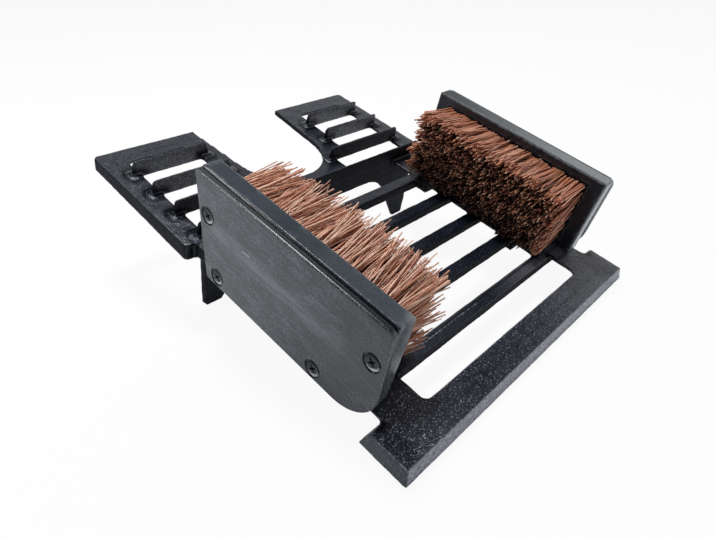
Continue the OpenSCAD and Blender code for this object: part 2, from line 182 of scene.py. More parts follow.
def joined(x, y, z=0.0):
    return fed("ShaderNodeCombineXYZ", {"X": x, "Y": y, "Z": z}).outputs[0]


print("number and vector helpers ready")

# %% [markdown]
# ## Helpers for materials
# These start a material, make patterns, mix colours and read a number that is stored on the mesh.
# Patterns read Object coordinates only: that needs no unwrapping, and they stay where they are from
# every side.

# %% Material helpers
def new_material(name):
    material = bpy.data.materials.new(name)
    material.use_nodes = True
    material.node_tree.nodes.clear()
    return material, material.node_tree


def place_and_facing(tree):
    place = add(tree, "ShaderNodeTexCoord").outputs["Object"]
    return place, add(tree, "ShaderNodeNewGeometry").outputs["Normal"]


def stored(tree, name):
    return add(tree, "ShaderNodeAttribute", attribute_name=name).outputs["Fac"]


def noise(place, scale, detail=2.0, roughness=0.5):
    inputs = {"Vector": place, "Scale": scale, "Detail": detail, "Roughness": roughness}
    return fed("ShaderNodeTexNoise", inputs).outputs["Fac"]


def ramp(factor, stops):
    node = fed("ShaderNodeValToRGB", {"Fac": factor})
    band = node.color_ramp
    while len(band.elements) < len(stops):
        band.elements.new(1.0)
    for element, (place, colour) in zip(band.elements, stops):
        element.position = place
        element.color = (*colour, 1.0)
    return node.outputs["Color"]


def mix(factor, first, second, blend="MIX"):
    pair = [v if isinstance(v, bpy.types.NodeSocket) else (*v, 1.0) for v in (first, second)]
    inputs = {0: factor, 6: pair[0], 7: pair[1]}
    return fed("ShaderNodeMix", inputs, data_type="RGBA", blend_type=blend).outputs[2]


print("material helpers ready")

# %% [markdown]
# ## Helpers for strokes and shaders
# Scratches, seams and worn crests are soft lines on a surface. A painted picture could hold them, but
# a stroke stays sharp from close by: it is the distance from a point to a straight run. The other
# helper ends a graph in a shader, with a bump where a height is given.

# %% Stroke and shader helpers
def stroke(place, start, end, width):
    start, end = Vector(start), Vector(end)
    run = (end - start).normalized()
    offset = vector("SUBTRACT", place, start)
    along = calc("MINIMUM", most(dot(offset, run), 0.0), (end - start).length)
    gap = vector("DISTANCE", offset, vector("SCALE", run, along))
    line = spread(gap, 0.0, width, 1.0, 0.0)
    line.node.interpolation_type = "SMOOTHSTEP"
    return line


def finish_shader(colour, roughness, height=None, bump=0.3, depth=0.0004, **fixed):
    shader = fed("ShaderNodeBsdfPrincipled", {"Base Color": colour, "Roughness": roughness})
    for key, value in fixed.items():
        plug(shader.inputs[{"ior": "IOR", "metallic": "Metallic"}[key]], value)
    if height is not None:
        relief = fed("ShaderNodeBump", {"Height": height, "Strength": bump, "Distance": depth})
        plug(shader.inputs["Normal"], relief.outputs["Normal"])
    fed("ShaderNodeOutputMaterial", {"Surface": shader.outputs["BSDF"]})


print("stroke and shader helpers ready")

# %% [markdown]
# ## Floor
# The photograph has a plain white ground. A large sheet of pale paper gives it. To the camera the
# paper glows almost white, and the rest of it stays paper, so a faint shadow is kept. In reflections it
# glows only a little, or the black paint would look grey from below.

# %% Floor
FLOOR_HALF = 20.0
PAPER = (0.86, 0.86, 0.86, 1.0)
GLOW_SHARE = 0.92
GLOW_IN_REFLECTIONS = 0.15
floor_mesh = bpy.data.meshes.new("floor")
floor_shape = bmesh.new()
bmesh.ops.create_grid(floor_shape, x_segments=1, y_segments=1, size=FLOOR_HALF)
floor_shape.to_mesh(floor_mesh)
floor_shape.free()
floor = into_scene("floor", floor_mesh)
floor_paper, tree = new_material("floor_paper")
rays = add(tree, "ShaderNodeLightPath").outputs
mirrored = times(rays["Is Glossy Ray"], GLOW_IN_REFLECTIONS)
seen = most(rays["Is Camera Ray"], rays["Is Transmission Ray"], mirrored)
paper = add(tree, "ShaderNodeBsdfDiffuse", {"Color": PAPER}).outputs[0]
glow = add(tree, "ShaderNodeEmission", {"Color": (1.0, 1.0, 1.0, 1.0), "Strength": 1.0}).outputs[0]
glow_share = times(seen, GLOW_SHARE)
sheet = fed("ShaderNodeMixShader", {"Fac": glow_share, 1: paper, 2: glow}).outputs[0]
fed("ShaderNodeOutputMaterial", {"Surface": sheet})
floor_mesh.materials.append(floor_paper)
print("floor:", floor.dimensions[:])

# %% [markdown]
# ## Light
# The light is that of a white room with a darker ceiling, so black paint shines at a flat angle and
# goes dark where it is looked down on. Only the camera sees the room as plain white. One lamp overhead
# puts the sparkle into the cast grain, and a smaller one from the rear left lights the far edges.

# %% World and lamps
ROOM_AXIS = (-0.3, -0.15, 0.92)
ROOM = [(0.22, (1.0, 1.0, 1.0)), (0.415, (0.15, 0.172, 0.225)), (1.0, (0.125, 0.148, 0.2))]
SEEN_ROOM = (0.975, 0.975, 0.98)
LAMP_COLOUR = (0.96, 0.98, 1.0)
LAMP_TARGET = Vector((0.0, 0.0, 0.05))
world = bpy.data.worlds.new("studio")
world.use_nodes = True
bpy.context.scene.world = world
tree = world.node_tree
tree.nodes.clear()
room = ramp(dot(add(tree, "ShaderNodeTexCoord").outputs["Generated"], ROOM_AXIS), ROOM)
room = mix(add(tree, "ShaderNodeLightPath").outputs["Is Camera Ray"], room, SEEN_ROOM)
sky = fed("ShaderNodeBackground", {"Color": room, "Strength": 1.0}).outputs[0]
fed("ShaderNodeOutputWorld", {"Surface": sky})


def soft_lamp(name, place, size, power):
    data = bpy.data.lights.new(name, "AREA")
    data.shape = "DISK"
    data.size = size
    data.energy = power
    data.color = LAMP_COLOUR
    lamp = into_scene(name, data)
    lamp.location = place
    lamp.rotation_euler = (LAMP_TARGET - Vector(place)).to_track_quat("-Z", "Y").to_euler()


soft_lamp("ceiling_lamp", (0.1, 0.3, 1.4), size=0.4, power=15.0)
soft_lamp("edge_lamp", (-0.85, 0.62, 0.75), size=0.3, power=3.5)
bpy.context.scene.view_settings.view_transform = "Standard"

# %% [markdown]
# ## Helpers for pieces
# A dressed piece starts as a copy of its solid with the loose triangles welded, laid down on the deck.
# Modifiers shape it, and their result is baked into a plain mesh, which holds just what is seen.

# %% Piece helpers
WELD = 2e-6


def welded_copy(node, name):
    shape = bmesh.new()
    shape.from_mesh(solids[node].data)
    for layer in list(shape.loops.layers.float_vector.values()):
        shape.loops.layers.float_vector.remove(layer)
    bmesh.ops.remove_doubles(shape, verts=shape.verts, dist=WELD)
    mesh = bpy.data.meshes.new(name)
    shape.to_mesh(mesh)
    shape.free()
    if "custom_normal" in mesh.attributes:
        mesh.attributes.remove(mesh.attributes["custom_normal"])
    mesh.transform(row_to_deck)
    return into_scene(name, mesh)


def shape_with(piece, name, kind, **settings):
    modifier = piece.modifiers.new(name, kind)
    for key, value in settings.items():
        setattr(modifier, key, value)
    return modifier


def bake(piece):
    graph = bpy.context.evaluated_depsgraph_get()
    made = bpy.data.meshes.new_from_object(piece.evaluated_get(graph))
    piece.modifiers.clear()
    piece.data = made
    made.name = piece.name


print("piece helpers ready")

# %% [markdown]
# ## Standing a piece up
# When its shape is done, a piece is stood up from the deck again and gets its finish. It is tied to the
# body it rides on, and the solids it stands for are hidden. Edges that don't join two faces are
# counted, because a closed piece has none.

# %% Standing helpers
def open_edges(mesh):
    uses = {}
    for key in (key for face in mesh.polygons for key in face.edge_keys):
        uses[key] = uses.get(key, 0) + 1
    return sum(count != 2 for count in uses.values())


def stand_up(piece, material, slot, *replaced):
    piece.data.transform(deck_to_row)
    piece.data.materials.clear()
    piece.data.materials.append(material)
    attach(piece, "root")
    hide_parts(*replaced)
    piece.data.calc_loop_triangles()
    triangles = len(piece.data.loop_triangles)
    print(piece.name, "triangles:", triangles, "open edges:", open_edges(piece.data))


print("standing helpers ready")

# %% [markdown]
# ## Edges of the solid
# Paint on iron wears first where an outside edge is sharp, and inside corners get painted shade. The
# solid knows both. Points are set along its sharp edges, and each point of a dressed mesh gets a number
# from 0 to 1 that is high close to them, for the material to read.

# %% Edge helpers
EDGE_SPACING = 0.0006
EDGE_LIMIT = math.radians(28)


def search_tree(points):
    tree = KDTree(len(points))
    for i, point in enumerate(points):
        tree.insert(point, i)
    tree.balance()
    return tree


def sharp_edges(mesh, sort="outside"):
    shape = bmesh.new()
    shape.from_mesh(mesh)
    points = []
    for edge in shape.edges:
        if len(edge.link_faces) != 2:
            continue
        bend = edge.calc_face_angle_signed(0.0)
        if {"outside": bend, "inside": -bend, "every": abs(bend)}[sort] > EDGE_LIMIT:
            a, b = edge.verts[0].co, edge.verts[1].co
            steps = max(1, int((b - a).length / EDGE_SPACING))
            points.extend(a.lerp(b, k / steps) for k in range(steps + 1))
    shape.free()
    return search_tree(points)


def keep_values(mesh, name, values):
    mesh.attributes.new(name, "FLOAT", "POINT").data.foreach_set("value", values)


def mark_wear(mesh, edges, reach):
    near = [max(0.0, 1.0 - edges.find(v.co)[2] / reach) for v in mesh.vertices]
    keep_values(mesh, "wear", near)
    return sum(value > 0 for value in near)


print("edge helpers ready")

# %% [markdown]
# ## The casting
# Iron poured into sand has no sharp edges: each is rounded by about a millimetre, and the faces are
# slightly wavy. A voxel remesh rebuilds the welded solid from small even cells, and smoothing rounds
# the edges. Away from edges each point then goes back onto the solid's own surface, so flat faces stay
# flat. Two noises move the skin by some tenths of a millimetre, always inwards on average, so the
# casting doesn't outgrow its solid.

# %% Casting shape
CELL = 0.00098
SMOOTHINGS = 4
HOLD_FROM, HOLD_OVER = 0.0008, 0.0010
KEPT_SHARE = 0.58
SLOW_WAVE, SLOW_HEIGHT = 95.0, 0.00018
FINE_WAVE, FINE_HEIGHT = 330.0, 0.00016
SKIN_INSET = 0.0002
casting = welded_copy("base_casting", "casting")
outside, inside, every = (sharp_edges(casting.data, sort) for sort in ("outside", "inside", "every"))
corners = [v.co.copy() for v in casting.data.vertices]
surface = BVHTree.FromPolygons(corners, [p.vertices[:] for p in casting.data.polygons])
shape_with(casting, "cells", "REMESH", mode="VOXEL", voxel_size=CELL, use_smooth_shade=True)
shape_with(casting, "soften", "SMOOTH", factor=0.5, iterations=SMOOTHINGS)
bake(casting)
for vertex in casting.data.vertices:
    hold = min(1.0, max(0.0, (every.find(vertex.co)[2] - HOLD_FROM) / HOLD_OVER))
    if hold > 0.0:
        vertex.co = vertex.co.lerp(surface.find_nearest(vertex.co)[0], hold)
casting.data.update()
shape_with(casting, "thin_out", "DECIMATE", ratio=KEPT_SHARE)
bake(casting)
normals = [v.normal.copy() for v in casting.data.vertices]
for vertex, normal in zip(casting.data.vertices, normals):
    wave = noise_at(vertex.co * SLOW_WAVE) * SLOW_HEIGHT + noise_at(vertex.co * FINE_WAVE) * FINE_HEIGHT
    vertex.co += normal * (wave - SKIN_INSET)
casting.data.update()
print("casting points:", len(casting.data.vertices))

# %% [markdown]
# ## Wear, shelter and corner shade
# Three numbers go onto the casting. Wear is high at outside edges. Shelter counts how many of three
# rays meet the casting again, so faces in narrow slots get a high one. Corner shade is high beside an
# inside corner, unless that corner lies beneath the surface, on the other side of a thin bar. The
# finish paints shade from shelter and corner shade.

# %% Wear, shelter and corner shade
WEAR_REACH = 0.0016
CORNER_SHADE_REACH = 0.007
SHELTER_REACH, SHELTER_START = 0.07, 0.0008
RAY_TIPS = (-0.45, 0.0, 0.45)


# Painted shade beside inside corners: 1 at the corner, 0 at the reach.
def corner_shade_of(point, normal):
    corner, _, gap = inside.find(point)
    beneath = (corner - point).dot(normal) < -0.5 * gap
    return 0.0 if beneath else max(0.0, 1.0 - gap / CORNER_SHADE_REACH)


def shelter(point, normal):
    start = point + normal * SHELTER_START
    ways = [(normal + Vector((0.0, 0.0, tip))).normalized() for tip in RAY_TIPS]
    met = sum(surface.ray_cast(start, way, SHELTER_REACH)[0] is not None for way in ways)
    return met / len(ways)


worn = mark_wear(casting.data, outside, WEAR_REACH)
for name, rule in (("shelter", shelter), ("grime", corner_shade_of)):
    values = [rule(v.co, n) for v, n in zip(casting.data.vertices, normals)]
    keep_values(casting.data, name, values)
    print("mean", name, round(sum(values) / len(values), 3))
print("points near an outside edge:", worn)

# %% [markdown]
# ## Cast iron finish: where it changes
# The casting is painted black over sandy iron, but not evenly. The front bar is coarse with grit, most
# of all at its left end. The ridges of the boot jack are sandy, and the bars between are smooth. So the
# finish starts with soft masks: which way a face looks, and where along and across it lies.

# %% Iron masks
iron_paint, tree = new_material("iron_paint")
place, facing = place_and_facing(tree)
cloud = noise(place, 38.0, 4.0, 0.6)
peel = noise(place, 620.0, 2.0, 0.5)
grain = noise(place, 1700.0, 2.0, 0.6)
upward = dot(facing, DECK_UP)
lies = spread(upward, 0.4, 0.95, start=0.15)
ahead = spread(dot(facing, -DECK_BACK), 0.5, 0.9)
sideways = axes(facing)["X"]
crosswise, rearward, _ = axes(place)
left_end = spread(crosswise, -0.04, -0.1)
right_end = spread(crosswise, 0.01, 0.1)
front_end = spread(rearward, -0.108, -0.118)
rear_end = spread(rearward, 0.05, 0.085)
between = calc("SUBTRACT", calc("SUBTRACT", 1.0, front_end), rear_end)
coarse = times(front_end, most(left_end, 0.4))
ridge_face = times(ahead, rear_end)
print("mask nodes:", len(tree.nodes))

# %% [markdown]
# ## Cast iron finish: sand, grit and painted glints
# Near black with a blue cast. Grains of the mould still show under the paint: fine dust, then grit.
# Single near-white cells are painted glints, the sparkle of the cast grain put into the colour. Grit
# and glints are cells of one Voronoi pattern, picked by the cell's own random colour, so each is either
# there or not.

# %% Iron grain
IRON_BLACK = [(0.3, (0.0032, 0.0045, 0.0095)), (0.7, (0.0075, 0.0096, 0.0175))]
SAND_DUST, GRIT, PAINTED_GLINT = (0.032, 0.037, 0.052), (0.15, 0.165, 0.21), (0.86, 0.89, 0.96)
sandy = most(coarse, most(times(rear_end, 0.16), 0.1))
sandy = most(times(sandy, lies), times(ridge_face, 0.6))
pebble = fed("ShaderNodeTexVoronoi", {"Vector": place, "Scale": 940.0}).outputs
pick = fed("ShaderNodeSeparateColor", {"Color": pebble["Color"]}).outputs
dust = spread(grain, 0.5, 0.78)
grit = times(spread(pebble["Distance"], 0.6, 0.15), spread(pick["Green"], 0.3, 1.0))
# Painted glints: small near-white cells that stand in for sparkle.
painted_glint = times(spread(pebble["Distance"], 0.38, 0.1), spread(pick["Red"], 0.4, 0.9))
colour = ramp(cloud, IRON_BLACK)
for amount, grain_colour in ((dust, SAND_DUST), (grit, GRIT), (painted_glint, PAINTED_GLINT)):
    colour = mix(times(amount, sandy), colour, grain_colour)
print("grain nodes:", len(tree.nodes))

# %% [markdown]
# ## Cast iron finish: wear and painted reflections
# The front bar takes the kicks: its edges are chipped to grey iron, and the pale chips also stand in
# for a highlight along them. Its front face and left end, and the front faces of the boot jack's
# ridges, are
# paler: a painted reflection. Its right end and the rail just behind it get another painted reflection.
# The first scraper bar has a worn line along its crest and a pale lip, with a dark seam between them.
# They are strokes, since such marks have no thickness.

# %% Iron wear
REFLECTION_BEHIND_BAR, REFLECTION_ON_BAR = (0.2, 0.205, 0.22), (0.06, 0.062, 0.068)
FRONT_REFLECTION_GREY, BARE_IRON_AND_HIGHLIGHT = (0.36, 0.363, 0.38), (0.45, 0.455, 0.48)
LIP, CREST, SEAM = (0.07, 0.072, 0.078), (0.2, 0.205, 0.22), (0.002, 0.002, 0.003)
# A painted reflection on the right end of the front bar and on the rail just behind it.
right_reflection = times(right_end, lies, spread(rearward, -0.088, -0.1))
right_reflection = times(right_reflection, spread(grain, 0.0, 0.75))
colour = mix(right_reflection, colour, mix(front_end, REFLECTION_BEHIND_BAR, REFLECTION_ON_BAR))
# A painted reflection on the front face and left end of the front bar, and on the ridges' front faces.
leftward = times(sideways, -1.0)
front_reflection = most(ahead, times(spread(leftward, 0.5, 0.9), 0.15))
front_reflection = most(times(front_reflection, front_end), times(ridge_face, 0.35))
colour = mix(times(front_reflection, spread(peel, 0.2, 0.62)), colour, FRONT_REFLECTION_GREY)
# Chipped edges: wear, and a painted highlight along the edge.
chips = spread(noise(place, 1500.0, 3.0, 0.6), 0.36, 0.66)
rubbed = times(spread(stored(tree, "wear"), 0.4, 0.7), chips)
colour = mix(times(rubbed, most(front_end, 0.04)), colour, BARE_IRON_AND_HIGHLIGHT)


def along_bar(y, right, width):
    return stroke(place, from_deck(-0.09, y, 0.0), from_deck(right, y, 0.0), width)


lip = times(along_bar(0.0488, 0.06, 0.0016), 0.6)
crest = times(along_bar(0.0455, 0.0, 0.0008), spread(peel, 0.42, 0.6))
seam = along_bar(0.0468, 0.09, 0.0010)
for amount, line_colour in ((lip, LIP), (crest, CREST), (seam, SEAM)):
    colour = mix(amount, colour, line_colour)
print("wear nodes:", len(tree.nodes))

# %% [markdown]
# ## Cast iron finish: painted shade, shine and relief
# Shade is painted in: inside corners, the slots and the flanks at the rear are darkened and lose their
# shine. A dark metallic face mirrors little, so the painted shade also drives Metallic. Roughness
# follows slow clouds and rises where the skin is dull. The bump is strong on the coarse front bar and
# weak on the steep faces, where it would only flicker.

# %% Iron painted shade and shine
SHADE_BLACK = (0.0032, 0.0036, 0.005)
before_rear = calc("SUBTRACT", 1.0, times(rear_end, 0.75))
shaded = times(stored(tree, "shelter"), before_rear)
flank = spread(calc("ABSOLUTE", sideways), 0.6, 0.9)
flank = times(flank, spread(rearward, -0.06, 0.02))
in_corner = spread(stored(tree, "grime"), 0.0, 0.7)
# Painted shade: slots, inside corners and rear flanks go dark and dull.
painted_shade = most(times(shaded, 0.8), times(in_corner, 0.85), times(flank, 0.65))
colour = mix(painted_shade, colour, SHADE_BLACK)
dull = most(shaded, flank, times(ahead, between))
rear_haze = times(spread(rearward, 0.0, 0.045), 0.03)
sheen = scaled(cloud, 0.2, 0.18)
sheen = total(sheen, most(times(dull, 0.45), rear_haze))
height = scaled(grain, 0.35, peel)
height = calc("SUBTRACT", height, times(pebble["Distance"], 0.6))
relief = times(spread(upward, 0.3, 0.9, 0.12, 1.4), most(coarse, 0.3))
height = times(height, most(relief, times(dull, 1.3)))
finish_shader(colour, sheen, height, 1.0, 0.0004, ior=1.45, metallic=painted_shade)
stand_up(casting, iron_paint, "casting", "base_casting")

# %% [markdown]
# ## Side plates: the sheet
# The plates are cut from thick sheet: flat, with an outline rounded over by a millimetre and smaller
# breaks at the countersunk holes. A bevel would leave long thin faces on such a shape, so the outline
# is read from the solid's outer face and rings of points step over the rounding.

# %% Sheet helpers
def face_loops(mesh, x):
    shape = bmesh.new()
    shape.from_mesh(mesh)
    flat = {v.index for v in shape.verts if abs(v.co.x - x) < WELD}
    links = {}
    for edge in shape.edges:
        in_flat = [all(v.index in flat for v in face.verts) for face in edge.link_faces]
        if in_flat.count(True) == 1 and len(in_flat) == 2:
            a, b = (v.index for v in edge.verts)
            links.setdefault(a, []).append(b)
            links.setdefault(b, []).append(a)
    shape.verts.ensure_lookup_table()
    loops, used = [], set()
    for start in links:
        if start in used:
            continue
        loop, here = [], start
        while here is not None:
            used.add(here)
            loop.append(Vector(shape.verts[here].co.yz))
            here = next((n for n in links[here] if n not in used), None)
        area = sum(p.cross(q) for p, q in zip(loop, loop[1:] + loop[:1])) / 2
        loops.append((area, loop if area > 0 else loop[::-1]))
    shape.free()
    return [loop for _, loop in sorted(loops, key=lambda item: -abs(item[0]))]


def moved_in(loop, inset):
    out = []
    for before, here, after in zip(loop[-1:] + loop[:-1], loop, loop[1:] + loop[:1]):
        one, two = (here - before).normalized(), (after - here).normalized()
        first, second = Vector((-one.y, one.x)), Vector((-two.y, two.x))
        out.append(here + (first + second) * inset / (1.0 + first.dot(second)))
    return out


def ring_of(shape, loop, x):
    verts = [shape.verts.new((x, p.x, p.y)) for p in loop]
    edges = [shape.edges.new((a, b)) for a, b in zip(verts, verts[1:] + verts[:1])]
    return verts, edges


def skin(shape, rings):
    for (lower, _), (upper, _) in zip(rings, rings[1:]):
        for i in range(len(lower)):
            j = (i + 1) % len(lower)
            shape.faces.new((lower[i], lower[j], upper[j], upper[i]))


def quarter_steps(radius, count):
    angles = [math.pi / 2 * k / count for k in range(count + 1)]
    return [(radius * (1 - math.sin(a)), radius * (1 - math.cos(a))) for a in angles]


print("sheet helpers ready")

# %% [markdown]
# ## Side plates: the holes
# A countersunk screw never fills its hole quite: a dark ring shows round the head. Each hole is drawn
# a little wider than the solid's, broken at its edge, and stepped down to the cone. A step is a radius
# and a depth, and each becomes one ring of points.

# %% Hole helpers
PLATE_OUTER, PLATE_INNER = 0.1185, 0.1145
HEAD_GAP = 0.0006
HOLE_SIDES, HOLE_BREAK, HOLE_MARGIN, HOLE_LEDGE = 48, 0.0005, 0.0007, 0.0009
SPOKES = [Vector((math.cos(t), math.sin(t)))
    for t in (math.tau * k / HOLE_SIDES for k in range(HOLE_SIDES))]


def middle_of(loop):
    return sum(loop, Vector((0.0, 0.0))) / len(loop)


def hole_steps(wide, narrow):
    edge = wide + HEAD_GAP
    steps = [(edge + HOLE_MARGIN, 0.0)]
    steps += [(edge + inset, drop) for inset, drop in quarter_steps(HOLE_BREAK, 4)]
    steps += [(edge, HOLE_LEDGE), (wide - HOLE_LEDGE, HOLE_LEDGE), (narrow, wide - narrow)]
    return steps + [(narrow, PLATE_OUTER - PLATE_INNER)]


print("points round a hole:", len(SPOKES))

# %% [markdown]
# ## Side plates: the whole plate
# Rings are skinned round the outline and down each hole, and then the two flat faces are filled between
# them. The points of the gap round a screw are marked, so that the finish can paint shade into them,
# and those close to the outer edge get their wear.

# %% Side plates
OUTER_ROUND, INNER_ROUND = 0.0011, 0.0008
FLAT_MARGIN = 0.0006
FLAT_FACE = 0.9999
RIM_RINGS = slice(3, 7)
PLATE_WEAR_REACH = 0.0011
LONG_EDGE, LONG_EDGE_POINTS = 0.002, 40


def outline_tree(outline, x):
    points = []
    for a, b in zip(outline, outline[1:] + outline[:1]):
        count = LONG_EDGE_POINTS if (b - a).length > LONG_EDGE else 1
        points += [a.lerp(b, k / count) for k in range(count)]
    return search_tree([(x, point.x, point.y) for point in points])


def sheet_piece(node, name, way):
    solid = welded_copy(node, name)
    outer_x, inner_x = way * PLATE_OUTER, way * PLATE_INNER
    outline, *holes = face_loops(solid.data, outer_x)
    inner_holes = face_loops(solid.data, inner_x)[1:]
    shape = bmesh.new()
    rim = shape.verts.layers.float.new("rim")
    rings = [ring_of(shape, moved_in(outline, OUTER_ROUND + FLAT_MARGIN), outer_x)]
    for inset, drop in quarter_steps(OUTER_ROUND, 5):
        rings.append(ring_of(shape, moved_in(outline, inset), outer_x - way * drop))
    for inset, rise in reversed(quarter_steps(INNER_ROUND, 3)):
        rings.append(ring_of(shape, moved_in(outline, inset), inner_x + way * rise))
    skin(shape, rings)
    outer_edges, inner_edges = list(rings[0][1]), list(rings[-1][1])
    for hole in holes:
        middle = middle_of(hole)
        near = min(inner_holes, key=lambda loop: (middle_of(loop) - middle).length)
        steps = hole_steps(*((loop[0] - middle).length for loop in (hole, near)))
        rings = [ring_of(shape, [middle + spoke * radius for spoke in SPOKES], outer_x - way * drop)
            for radius, drop in steps]
        skin(shape, rings)
        for vertex in (v for ring, _ in rings[RIM_RINGS] for v in ring):
            vertex[rim] = 1.0
        outer_edges += rings[0][1]
        inner_edges += rings[-1][1]
    for border in (outer_edges, inner_edges):
        bmesh.ops.triangle_fill(shape, edges=border, use_beauty=True)
    bmesh.ops.recalc_face_normals(shape, faces=shape.faces)
    for face in shape.faces:
        face.smooth = abs(face.normal.x) < FLAT_FACE
    shape.to_mesh(solid.data)
    shape.free()
    mark_wear(solid.data, outline_tree(outline, outer_x), PLATE_WEAR_REACH)
    print(name, "outline points:", len(outline), "holes:", len(holes))
    return solid


plates = {side: sheet_piece(f"{side}_side_plate", f"{side}_plate", way)
    for side, way in (("left", -1.0), ("right", 1.0))}

# %% [markdown]
# ## Plate finish: handled paint
# Satin black paint, greyed by handling. Fine dust gives the grain, and streaks along the plate and slow
# blotches make it uneven. A paler band along the middle is a painted reflection, and the darker front
# is painted shade. One pale scuff and one dark scratch are short strokes.

# %% Plate paint
def on_plate(y, z):
    return from_deck(-PLATE_OUTER, y, z)


STREAKS_ALONG, STREAKS_UP = DECK_BACK * 45.0, DECK_UP * 420.0
PLATE_TONES = [(0.38, (0.004, 0.0056, 0.0088)), (0.52, (0.028, 0.0335, 0.042)),
    (0.64, (0.11, 0.12, 0.136))]
PLATE_MARKS = (
    # The first mark is painted shade over the front of the plate; then a pale scuff and a dark scratch.
    (on_plate(0.036, 0.052), on_plate(0.06, -0.01), 0.05, 0.6, (0.008, 0.0092, 0.0118)),
    (on_plate(0.1352, 0.0318), on_plate(0.1298, 0.0320), 0.0009, 0.8, (0.42, 0.42, 0.43)),
    (on_plate(0.0956, -0.0030), on_plate(0.0880, -0.0012), 0.0007, 0.9, (0.006, 0.006, 0.008)),
)
plate_paint, tree = new_material("plate_paint")
place, facing = place_and_facing(tree)
mottle = noise(place, 700.0, 3.0, 0.65)
grain = noise(place, 2200.0, 2.0, 0.6)
blotch = noise(place, 95.0, 4.0, 0.65)
drawn = joined(dot(place, STREAKS_ALONG), dot(place, STREAKS_UP))
streaks = noise(drawn, 1.0, 3.0, 0.6)
fine = total(times(mottle, 0.6), times(grain, 0.4))
uneven = total(times(streaks, 0.4), times(blotch, 0.4))
dust = calc("SUBTRACT", total(fine, uneven), 0.4)
# The band is a painted reflection along the middle of the plate.
band = stroke(place, on_plate(0.160, 0.029), on_plate(0.062, 0.027), 0.010)
band = times(band, 0.9, spread(streaks, 0.2, 0.65))
colour = mix(band, ramp(dust, PLATE_TONES), (0.15, 0.158, 0.168))
for start, end, width, strength, mark_colour in PLATE_MARKS:
    mark = stroke(place, start, end, width)
    colour = mix(times(mark, strength), colour, mark_colour)
print("plate paint nodes:", len(tree.nodes))

# %% [markdown]
# ## Plate finish: edges and rings
# The rounded outline keeps its black paint. Where it looks to the front, a painted reflection makes it
# pale, most of all on the right plate. The ring round each screw is painted shade, black. The sharp
# outer corner is chipped to grey, and the pale chips also stand in for a highlight along the edge.

# %% Plate edges
EDGE_BLACK, PLATE_FRONT_REFLECTION = (0.0045, 0.0052, 0.0068), (0.3, 0.303, 0.31)
RING_SHADE, CHIPS_AND_EDGE_HIGHLIGHT = (0.0025, 0.0025, 0.0035), (0.3, 0.305, 0.31)
flat = spread(calc("ABSOLUTE", axes(facing)["X"]), 0.8, 0.97)
colour = mix(flat, EDGE_BLACK, colour)
on_right = spread(axes(place)["X"], -0.1, 0.1)
# The pale front of the rim is a painted reflection.
pale = spread(dot(facing, -DECK_BACK), 0.2, 0.6)
colour = mix(times(pale, most(on_right, 0.12)), colour, PLATE_FRONT_REFLECTION)
# The gap round each screw: painted shade, black.
colour = mix(spread(stored(tree, "rim"), 0.2, 0.8), colour, RING_SHADE)
# Chips along the outer edge: wear, and a painted highlight.
chips = spread(noise(place, 900.0, 3.0, 0.6), 0.4, 0.6)
rubbed = times(spread(stored(tree, "wear"), 0.46, 0.6), chips)
colour = mix(rubbed, colour, CHIPS_AND_EDGE_HIGHLIGHT)
sheen = scaled(mottle, 0.2, 0.18)
finish_shader(colour, sheen, times(dust, flat), 0.6, 0.0003, ior=1.6)
for side, plate in plates.items():
    stand_up(plate, plate_paint, "plate", f"{side}_side_plate")

# %% [markdown]
# ## Brush blocks: shape
# The stocks that hold the bristles are bars with crisp edges, broken by less than a millimetre. A
# bevel does that here. Their large faces are then cut into small triangles, so that wear can be stored
# on their points.

# %% Block shape helpers
FLAT_ENOUGH = math.radians(0.6)
BEVEL_STEPS = 3


def bevelled(node, name, width):
    piece = welded_copy(node, name)
    edges = sharp_edges(piece.data)
    shape = bmesh.new()
    shape.from_mesh(piece.data)
    bmesh.ops.dissolve_limit(shape, angle_limit=FLAT_ENOUGH, verts=shape.verts, edges=shape.edges)
    shape.to_mesh(piece.data)
    shape.free()
    shape_with(piece, "round_edge", "BEVEL", width=width, segments=BEVEL_STEPS,
        limit_method="ANGLE", angle_limit=EDGE_LIMIT)
    bake(piece)
    return piece, edges


def smooth_bends(mesh):
    for face in mesh.polygons:
        face.use_smooth = max(abs(c) for c in face.normal) < FLAT_FACE


def cut_fine(piece, longest, passes):
    for _ in range(passes):
        shape = bmesh.new()
        shape.from_mesh(piece.data)
        bmesh.ops.triangulate(shape, faces=shape.faces)
        long_edges = [e for e in shape.edges if e.calc_length() > longest]
        bmesh.ops.subdivide_edges(shape, edges=long_edges, cuts=1)
        bmesh.ops.triangulate(shape, faces=shape.faces)
        shape.to_mesh(piece.data)
        shape.free()
    smooth_bends(piece.data)


print("block helpers ready")

# %% [markdown]
# ## Brush blocks: finish
# Dark slate coloured, with edges rubbed pale; the pale edges also stand in for their highlights. The
# front ends get a pale painted reflection. The inner faces, behind the bristles, get painted shade, and
# so does the far rear of the right block. The corner of the left block nearest to the feet is worn
# pale.
# The shade in the groove between block and plate is painted: points close to the plate carry a wear
# below zero, and the finish paints them black.

